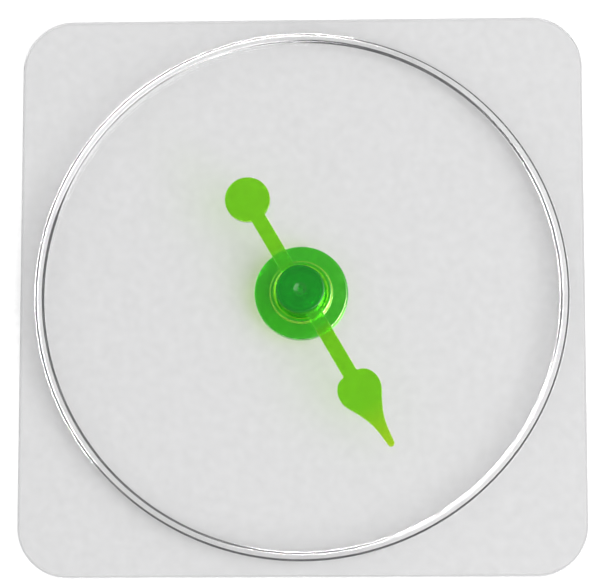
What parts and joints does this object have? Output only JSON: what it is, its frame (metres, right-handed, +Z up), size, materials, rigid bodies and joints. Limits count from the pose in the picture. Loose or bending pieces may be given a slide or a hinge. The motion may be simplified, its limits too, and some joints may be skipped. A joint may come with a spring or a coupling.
{
  "type": "game spinner",
  "caption": "Clear square plate with a raised circle, a translucent green hub and a balanced arrow pointer that spins freely to pick a direction in a board game.",
  "frame": {"origin": "centre of the plate's underside, where it rests on the table, under the pointer's pivot", "axes": "+Z up along the pointer's spin axis; +X and +Y along the plate's sides"},
  "size_m": [0.0888, 0.0888, 0.0074],
  "materials": {
    "clear_polystyrene": "water-clear, glossy moulded",
    "green_translucent_hub": "translucent, glossy moulded",
    "green_translucent_pointer": "translucent, satin moulded"
  },
  "bodies": {
    "base": {"base_plate": "clear_polystyrene", "hub_base": "green_translucent_hub"},
    "pointer": {"pointer": "green_translucent_pointer"}
  },
  "joints": [
    {"name": "pointer_spin", "type": "hinge", "parent": "base", "child": "pointer", "pos_m": [0, 0, 0.0062], "axis": [0, 0, 1], "continuous": true}
  ]
}
